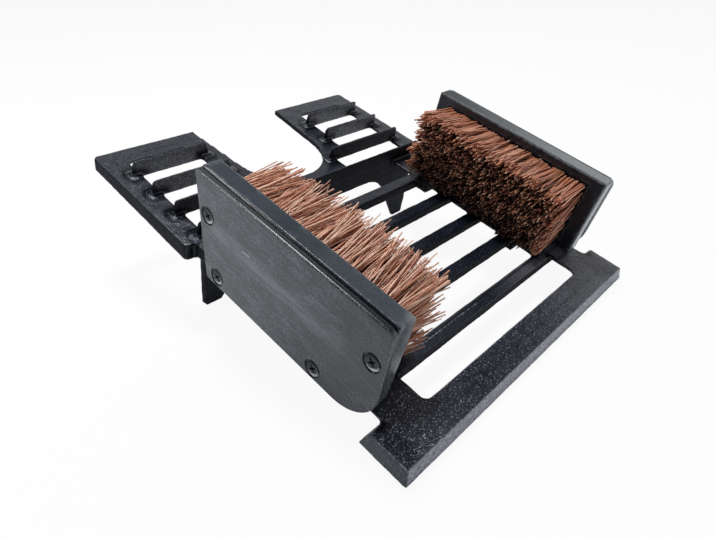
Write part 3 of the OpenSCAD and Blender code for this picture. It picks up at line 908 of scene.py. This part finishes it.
# %% Block finish
SLATE = [(0.3, (0.026, 0.033, 0.039)), (0.7, (0.041, 0.05, 0.057))]
SLATE_DUST, INNER_SHADE, BLOCK_FRONT_REFLECTION = (0.06, 0.068, 0.072), (0.006, 0.0075, 0.011), (0.34, 0.345, 0.35)
RUBBED_SLATE_AND_HIGHLIGHT, PALE_CORNER = (0.24, 0.26, 0.265), (0.3, 0.31, 0.295)
GROOVE_SHADE, REAR_SHADE = (0.0025, 0.0025, 0.0035), (0.008, 0.009, 0.011)
WORN_CORNER = [from_deck(-0.1023, 0.0339, z) for z in (0.0604, 0.048)]
block_finish, tree = new_material("block_finish")
place, facing = place_and_facing(tree)
across, rearward, _ = axes(place)
wear = stored(tree, "wear")
grain = noise(place, 700.0, 3.0, 0.6)
colour = ramp(noise(place, 30.0, 4.0, 0.6), SLATE)
colour = mix(spread(grain, 0.6, 0.9), colour, SLATE_DUST)
# The inner faces behind the bristles: painted shade.
inner = spread(calc("ABSOLUTE", axes(facing)["X"]), 0.6, 0.95)
colour = mix(times(inner, 0.75), colour, INNER_SHADE)
# Front ends and the front of the top: a pale painted reflection.
on_front = spread(dot(facing, -DECK_BACK), 0.5, 0.9)
on_top = spread(dot(facing, DECK_UP), 0.5, 0.9)
block_front_reflection = most(on_front, times(on_top, spread(rearward, -0.05, -0.1), 0.55))
on_right = most(spread(across, -0.08, 0.1), 0.2)
block_front_reflection = times(block_front_reflection, on_right, spread(grain, 0.1, 0.7))
colour = mix(block_front_reflection, colour, BLOCK_FRONT_REFLECTION)
# Rubbed edges: wear, and a painted highlight on the bevel.
chips = spread(noise(place, 300.0, 4.0, 0.6), 0.42, 0.66)
rubbed = times(calc("POWER", wear, 1.2), spread(chips, 0.0, 1.2))
colour = mix(rubbed, colour, RUBBED_SLATE_AND_HIGHLIGHT)
colour = mix(times(stroke(place, *WORN_CORNER, 0.008), 0.7), colour, PALE_CORNER)
# The groove between block and plate: painted shade.
colour = mix(spread(wear, -0.1, -0.6), colour, GROOVE_SHADE)
# The far rear of the right block: painted shade.
far_rear = times(spread(across, 0.0, 0.1), spread(rearward, -0.06, 0.02))
colour = mix(times(far_rear, 0.7), colour, REAR_SHADE)
sheen = total(scaled(grain, 0.14, 0.13), times(far_rear, 0.4))
finish_shader(colour, sheen, grain, 0.12, 0.0001)
print("block finish nodes:", len(tree.nodes))

# %% [markdown]
# ## Brush blocks: the two of them
# The left block is the mirror image of the right one, as their solids are. So the right one is shaped
# twice and one copy is mirrored, which also turns its faces inside out, and they are flipped back.

# %% Brush blocks
BLOCK_BEVEL, BLOCK_WEAR_REACH = 0.0008, 0.00078
BLOCK_TRIANGLE, BLOCK_PASSES = 0.005, 5
GROOVE_FROM = 0.1138
for side in ("left", "right"):
    block, block_edges = bevelled("right_brush_block", f"{side}_block", BLOCK_BEVEL)
    cut_fine(block, BLOCK_TRIANGLE, BLOCK_PASSES)
    mark_wear(block.data, block_edges, BLOCK_WEAR_REACH)
    # Points beside the plate get a wear of -1, where the finish paints the groove's shade.
    for vertex, value in zip(block.data.vertices, block.data.attributes["wear"].data):
        if abs(vertex.co.x) > GROOVE_FROM:
            value.value = -1.0
    if side == "left":
        block.data.transform(Matrix.Scale(-1.0, 4, (1.0, 0.0, 0.0)))
        block.data.flip_normals()
    stand_up(block, block_finish, "block", f"{side}_brush_block")

# %% [markdown]
# ## Screws: finish
# Blackened steel, a little greasy. Light from below and the shade of the hole draw a pale crescent on
# the lower edge of each head and a dark one on the upper. They are kept in the finish, as a number
# from -1 to 1 round the head, because the heads are too small for the lamps to draw them.

# %% Screw finish
STEEL = [(0.35, (0.022, 0.023, 0.026)), (0.7, (0.06, 0.062, 0.067))]
PALE_CRESCENT, DARK_CRESCENT = (0.5, 0.505, 0.515), (0.003, 0.003, 0.004)
screw_black, tree = new_material("screw_black")
place, _ = place_and_facing(tree)
grain = noise(place, 900.0, 3.0, 0.6)
rim = stored(tree, "rim")
colour = ramp(grain, STEEL)
colour = mix(times(spread(rim, 0.25, 0.75), 0.85), colour, PALE_CRESCENT)
colour = mix(spread(rim, -0.1, -0.5), colour, DARK_CRESCENT)
finish_shader(colour, spread(grain, -1.0, 2.2), grain, 0.15, 0.0002, metallic=0.55)
print("screw finish ready")

# %% [markdown]
# ## Screws: the tree
# Four screws go into the rails and four into the blocks. Of each sort one is shaped, with its edges
# broken by a small bevel, and Geometry Nodes set a copy on each of four points, turned to its side.

# %% Screw tree
screw_tree = bpy.data.node_groups.new("set_screws", "GeometryNodeTree")


def new_input(tree, label, kind):
    return tree.interface.new_socket(name=label, in_out="INPUT", socket_type="NodeSocket" + kind)


screw_inputs = {label: new_input(screw_tree, label, kind).identifier
    for label, kind in (("Points", "Geometry"), ("Screw", "Object"), ("Finish", "Material"))}
screw_tree.interface.new_socket(name="Screws", in_out="OUTPUT", socket_type="NodeSocketGeometry")
given = add(screw_tree, "NodeGroupInput").outputs
one = fed("GeometryNodeObjectInfo", {"Object": given["Screw"]}, transform_space="ORIGINAL")
side_turn = add(screw_tree, "GeometryNodeInputNamedAttribute", {"Name": "side_turn"}, data_type="FLOAT")
about_z = joined(0.0, 0.0, side_turn.outputs["Attribute"])
setting = {"Points": given["Points"], "Instance": one.outputs["Geometry"], "Rotation": about_z}
copies = fed("GeometryNodeInstanceOnPoints", setting).outputs["Instances"]
copies = fed("GeometryNodeRealizeInstances", {"Geometry": copies}).outputs["Geometry"]
finished = {"Geometry": copies, "Material": given["Finish"]}
copies = fed("GeometryNodeSetMaterial", finished).outputs["Geometry"]
fed("NodeGroupOutput", {"Screws": copies})
print("screw tree nodes:", len(screw_tree.nodes))

# %% [markdown]
# ## Screws: in their holes
# One screw of each sort is moved to the origin by the middle of its head's face, and the tree copies it
# to its four holes. The points on the edge of each head then get the number for the finish: 1 on the
# pale side, -1 on the dark one, and 0 away from the edge.

# %% Set the screws
HOLES = [(0.0726, -0.004), (0.1565, -0.004), (0.040, 0.0345), (0.167, 0.0345)]
HEAD_FACE = 0.1183
SCREW_BEVEL = 0.0006
RIM_WIDTH, RIM_DEPTH = 0.0007, 0.0012
PALE_WAY = Vector((-0.5, -0.866))


def spoke_of(vertex, spots):
    here = vertex.co.yz
    return here - min((Vector(spot) for spot in spots), key=lambda spot: (here - spot).length)


for sort, spots in (("rail", HOLES[:2]), ("block", HOLES[2:])):
    one_screw, _ = bevelled(f"right_front_{sort}_screw", f"one_{sort}_screw", SCREW_BEVEL)
    one_screw.data.transform(Matrix.Translation((-HEAD_FACE, -spots[0][0], -spots[0][1])))
    smooth_bends(one_screw.data)
    points = bpy.data.meshes.new(f"{sort}_screw_points")
    points.from_pydata([(side * HEAD_FACE, y, z) for side in (1, -1) for y, z in spots], [], [])
    keep_values(points, "side_turn", [0.0, 0.0, math.pi, math.pi])
    screws = into_scene(f"{sort}_screws", points)
    setting = shape_with(screws, "setting", "NODES", node_group=screw_tree)
    setting[screw_inputs["Screw"]] = one_screw
    setting[screw_inputs["Finish"]] = screw_black
    bake(screws)
    spokes = [spoke_of(vertex, spots) for vertex in screws.data.vertices]
    head_radius = max(spoke.length for spoke in spokes)
    rim = []
    for vertex, spoke in zip(screws.data.vertices, spokes):
        on_edge = spoke.length > head_radius - RIM_WIDTH and abs(vertex.co.x) > HEAD_FACE - RIM_DEPTH
        rim.append(spoke.normalized().dot(PALE_WAY) if on_edge else 0.0)
    keep_values(screws.data, "rim", rim)
    bpy.data.objects.remove(one_screw)
    replaced = [f"{side}_{end}_{sort}_screw" for side in ("left", "right") for end in ("front", "rear")]
    stand_up(screws, screw_black, "screw", *replaced)

# %% [markdown]
# ## Bristles: finish
# Stiff copper brown fibre, each one a little paler or darker than its neighbours. A brush is dark
# inside, because light hardly gets between the fibres. That is painted in: a fibre is dark at its root,
# and darker as a whole where it is shorter than those round it. Fibres on the outside of the brush get
# more light and look warmer. The tree below stores what the finish needs on each fibre.

# %% Bristle finish
FIBRE_TONES = [(0.0, (0.05, 0.016, 0.009)), (0.3, (0.34, 0.118, 0.058)),
    (0.65, (0.66, 0.285, 0.158)), (1.0, (0.95, 0.61, 0.43))]
WARM_FIBRE, WARM_SHARE = (0.8, 0.3, 0.15), 0.5
ROOT_TONES = [(0.0, (0.03, 0.02, 0.016)), (0.62, (0.12, 0.1, 0.09)),
    (0.86, (0.4, 0.37, 0.35)), (0.95, (1.0, 1.0, 1.0))]
PIT_TONES = [(0.0, (0.025, 0.018, 0.016)), (0.5, (0.22, 0.19, 0.175)), (0.95, (1.0, 1.0, 1.0))]
fibre, tree = new_material("bristle_fibre")
place, _ = place_and_facing(tree)
warm = times(calc("POWER", stored(tree, "warm"), 2.0), WARM_SHARE)
colour = mix(warm, ramp(stored(tree, "shade"), FIBRE_TONES), WARM_FIBRE)
root_dark = ramp(stored(tree, "along"), ROOT_TONES)
pit_dark = ramp(stored(tree, "pit"), PIT_TONES)
shadows = mix(1.0, root_dark, pit_dark, "MULTIPLY")
shadows = mix(stored(tree, "depth_shade"), (1.0, 1.0, 1.0), shadows)
colour = mix(1.0, colour, shadows, "MULTIPLY")
finish_shader(colour, spread(noise(place, 500.0, 2.0), -0.4, 1.9))
print("bristle finish ready")

# %% [markdown]
# ## Bristles: the tree's inputs
# Both brushes grow from one Geometry Nodes tree and differ only in its inputs: how many tufts, how
# long and thick the fibres are, how much tufts and fibres lean, and how far the brush opens. Lengths
# are in metres, and leans are the sideways step for each step outwards.

# %% Bristle inputs
BRUSH_INPUTS = {
    "Columns": 22, "Rows": 8, "Fibres per tuft": 28, "Field length": 0.118, "Field height": 0.0425,
    "Fibre length": 0.0345, "Length spread": 0.0030, "Fibre radius": 0.00045, "Tuft radius": 0.0023,
    "Tuft lean": 0.07, "Tuft fan": 0.0, "Fibre lean": 0.06, "Splay along": 0.03, "Splay up": 0.04,
    "Lift": 0.0, "Lift change": 0.0, "Depth shade": 0.5, "Tone": 0.0, "Twist": 0.0,
    "Stray share": 0.012, "Bend": 0.002, "Seed": 4,
}
brush_tree = bpy.data.node_groups.new("brush_tufts", "GeometryNodeTree")
brush_inputs = {}
for label, value in BRUSH_INPUTS.items():
    socket = new_input(brush_tree, label, "Int" if isinstance(value, int) else "Float")
    socket.default_value = value
    brush_inputs[label] = socket.identifier
brush_inputs["Finish"] = new_input(brush_tree, "Finish", "Material").identifier
brush_tree.interface.new_socket(name="Brush", in_out="OUTPUT", socket_type="NodeSocketGeometry")
sizes = add(brush_tree, "NodeGroupInput").outputs


def made(kind, output, inputs=None, **settings):
    return add(brush_tree, "GeometryNode" + kind, inputs, **settings).outputs[output]


def chance(low, high, salt, who):
    inputs = {"ID": who, "Seed": total(sizes["Seed"], salt), 2: low, 3: high}
    return fed("FunctionNodeRandomValue", inputs).outputs[1]


def both_ways(salt, who):
    return joined(chance(-1.0, 1.0, salt, who), chance(-1.0, 1.0, salt + 1, who))


def store(geometry, name, value, kind="FLOAT"):
    inputs = {"Geometry": geometry, "Name": name, "Value": value}
    return made("StoreNamedAttribute", "Geometry", inputs, data_type=kind)


def read(name, kind="FLOAT"):
    return made("InputNamedAttribute", "Attribute", {"Name": name}, data_type=kind)


print("bristle inputs:", len(brush_inputs))

# %% [markdown]
# ## Bristles: roots and lean
# A grid of points stands for the holes drilled in the block. Each point becomes a tuft of fibre roots,
# scattered over a small disc. A root's lean adds up what bends a real brush: the brush opens outwards,
# lifts and twists from end to end, tufts are set a little askew, and fibres spread within a tuft. A few
# strays lean much more.

# %% Bristle roots
TUFT_SHIFT = 0.0006
STRAY_LEAN = 2.5
own_index = made("InputIndex", 0)
spot = made("InputPosition", 0)
grid = made("MeshGrid", "Mesh", {"Size X": sizes["Field length"], "Size Y": sizes["Field height"],
    "Vertices X": sizes["Columns"], "Vertices Y": sizes["Rows"]})
tufts = store(made("MeshToPoints", "Points", {"Mesh": grid}), "tuft", own_index, "INT")
many = {"Geometry": tufts, "Amount": sizes["Fibres per tuft"]}
roots = made("DuplicateElements", "Geometry", many, domain="POINT")
tuft = read("tuft", "INT")
tuft_stray, fibre_stray = both_ways(21, tuft), both_ways(31, own_index)
turn = chance(0.0, math.tau, 11, own_index)
away = calc("SQRT", chance(0.0, 1.0, 12, own_index))
in_tuft = joined(times(away, calc("COSINE", turn)), times(away, calc("SINE", turn)))
half_field = joined(times(sizes["Field length"], 0.5), times(sizes["Field height"], 0.5), 1.0)
outward = vector("DIVIDE", spot, half_field)
end_ways, top_ways, _ = axes(outward)
fan = vector("MULTIPLY", outward, joined(sizes["Splay along"], sizes["Splay up"]))
lift = total(sizes["Lift"], times(sizes["Lift change"], end_ways))
twist = times(sizes["Twist"], times(end_ways, top_ways))
lean = vector("ADD", fan, joined(twist, lift))
lean = vector("ADD", lean, vector("SCALE", tuft_stray, sizes["Tuft lean"]))
is_stray = calc("LESS_THAN", chance(0.0, 1.0, 71, own_index), sizes["Stray share"])
wild = times(sizes["Fibre lean"], total(1.0, times(is_stray, STRAY_LEAN)))
askew = vector("SCALE", in_tuft, sizes["Tuft fan"])
askew = vector("ADD", vector("SCALE", fibre_stray, wild), askew)
roots = store(roots, "lean", vector("ADD", lean, askew), "FLOAT_VECTOR")
moved = vector("SCALE", tuft_stray, TUFT_SHIFT)
moved = vector("ADD", vector("SCALE", in_tuft, sizes["Tuft radius"]), moved)
roots = made("SetPosition", "Geometry", {"Geometry": roots, "Offset": moved})
roots = store(roots, "root", spot, "FLOAT_VECTOR")
bow = vector("SCALE", both_ways(51, own_index), sizes["Bend"])
roots = store(roots, "bow", bow, "FLOAT_VECTOR")
print("root nodes:", len(brush_tree.nodes))

# %% [markdown]
# ## Bristles: length and shade
# Trimming never leaves fibres of one length: they differ singly and by the tuft. From length and place
# come the numbers for the finish: how deep a fibre's tip lies, whether it stands on the rim of the
# brush or under it, how warm it is, and its own shade.

# %% Bristle shades
length, uneven = sizes["Fibre length"], sizes["Length spread"]
reach = total(length, times(uneven, chance(-1.0, 0.7, 41, own_index)))
reach = total(reach, times(uneven, chance(-0.5, 0.5, 42, tuft)))
shortest = calc("SUBTRACT", length, times(uneven, 1.1))
longest = total(length, times(uneven, 0.6))
low = total(0.4, times(spread(top_ways, -1.0, -0.1), 0.6))
pit = times(low, spread(reach, shortest, longest))
at_end = spread(calc("ABSOLUTE", end_ways), 0.88, 0.98)
rim = most(spread(top_ways, 0.75, 0.95), at_end)
under = times(spread(top_ways, -0.5, -0.9), spread(end_ways, 0.96, 0.82))
depth = times(sizes["Depth shade"], calc("SUBTRACT", 1.0, times(rim, 0.8)))
depth = most(depth, times(under, 0.6))
warm = times(rim, sizes["Depth shade"])
tint = times(chance(-0.2, 1.1, 61, own_index), 0.85)
tint = total(tint, times(chance(0.0, 1.0, 62, tuft), 0.15))
tint = total(tint, sizes["Tone"], times(warm, 0.2))
shades = {"reach": reach, "pit": pit, "depth_shade": depth, "warm": warm, "shade": tint}
for name, value in shades.items():
    roots = store(roots, name, value)
print("shade nodes:", len(brush_tree.nodes))

# %% [markdown]
# ## Bristles: the fibres
# Each root gets a short line of four points. The points are moved out along the lean and bowed a
# little, and a small square section is swept along them, thinner towards the tip. The ends are capped,
# so every fibre is a closed solid.

# %% Bristle fibres
FIBRE_POINTS, FIBRE_SIDES = 4, 4
TIP_TAPER = 0.2
straight = {"Start": (0.0, 0.0, 0.0), "End": (0.0, 0.0, 0.001)}
thread = made("CurvePrimitiveLine", "Curve", straight)
thread = made("ResampleCurve", "Curve", {"Curve": thread, "Count": FIBRE_POINTS})
fibres = made("InstanceOnPoints", "Instances", {"Points": roots, "Instance": thread})
fibres = made("RealizeInstances", "Geometry", {"Geometry": fibres})
part_way = made("SplineParameter", "Factor")
run = vector("ADD", read("lean", "FLOAT_VECTOR"), (0.0, 0.0, 1.0))
run = vector("SCALE", run, times(part_way, read("reach")))
curl = vector("SCALE", read("bow", "FLOAT_VECTOR"), calc("POWER", part_way, 2.0))
new_place = vector("ADD", vector("ADD", read("root", "FLOAT_VECTOR"), run), curl)
fibres = store(fibres, "along", part_way)
fibres = made("SetPosition", "Geometry", {"Geometry": fibres, "Position": new_place})
taper = calc("SUBTRACT", 1.0, times(part_way, TIP_TAPER))
girth = times(sizes["Fibre radius"], taper)
section = made("CurvePrimitiveCircle", "Curve", {"Resolution": FIBRE_SIDES, "Radius": 1.0})
sweep = {"Curve": fibres, "Profile Curve": section, "Scale": girth, "Fill Caps": True}
whole = made("CurveToMesh", "Mesh", sweep)
whole = made("RealizeInstances", "Geometry", {"Geometry": whole})
whole = made("SetMaterial", "Geometry", {"Geometry": whole, "Material": sizes["Finish"]})
fed("NodeGroupOutput", {"Brush": whole})
print("bristle tree nodes:", len(brush_tree.nodes))

# %% [markdown]
# ## Bristles: the two brushes
# The right brush is seen from its tips: many small tufts of thick fibres, cut unevenly and deep in
# shade. The left one is seen from its back: fewer, fuller tufts of thin fibres that spread and cross,
# in full light. A matrix sets each on its block, with its fibres pointing to the middle.

# %% Grow the two brushes
BLOCK_FACE = 0.1023
FIELD_Y, FIELD_Z = 0.1064, 0.03045
brush_habits = {
    "right": {"Seed": 9, "Columns": 44, "Rows": 16, "Fibres per tuft": 7, "Tuft radius": 0.0014,
        "Tuft fan": -0.02, "Tuft lean": 0.05, "Length spread": 0.004, "Fibre radius": 0.00058,
        "Lift": 0.03, "Lift change": -0.04, "Splay up": 0.02, "Depth shade": 0.98, "Tone": -0.07},
    "left": {"Seed": 4, "Fibres per tuft": 24, "Fibre radius": 0.00046, "Lift": 0.0,
        "Lift change": -0.13, "Splay up": 0.08, "Splay along": 0.0, "Twist": -0.08,
        "Stray share": 0.007, "Tuft fan": 0.04, "Fibre lean": 0.18, "Tuft lean": 0.1,
        "Length spread": 0.002, "Fibre length": 0.0335, "Depth shade": 0.55, "Tone": 0.43},
}
for side, way in (("right", 1), ("left", -1)):
    brush = into_scene(f"{side}_brush", bpy.data.meshes.new(f"{side}_brush"))
    grow = shape_with(brush, "tufts", "NODES", node_group=brush_tree)
    for label, value in brush_habits[side].items():
        grow[brush_inputs[label]] = value
    grow[brush_inputs["Finish"]] = fibre
    bake(brush)
    brush.data.transform(Matrix((
        (0, 0, -way, way * BLOCK_FACE), (-way, 0, 0, FIELD_Y), (0, 1, 0, FIELD_Z), (0, 0, 0, 1))))
    stand_up(brush, fibre, "bristle", f"{side}_bristles")
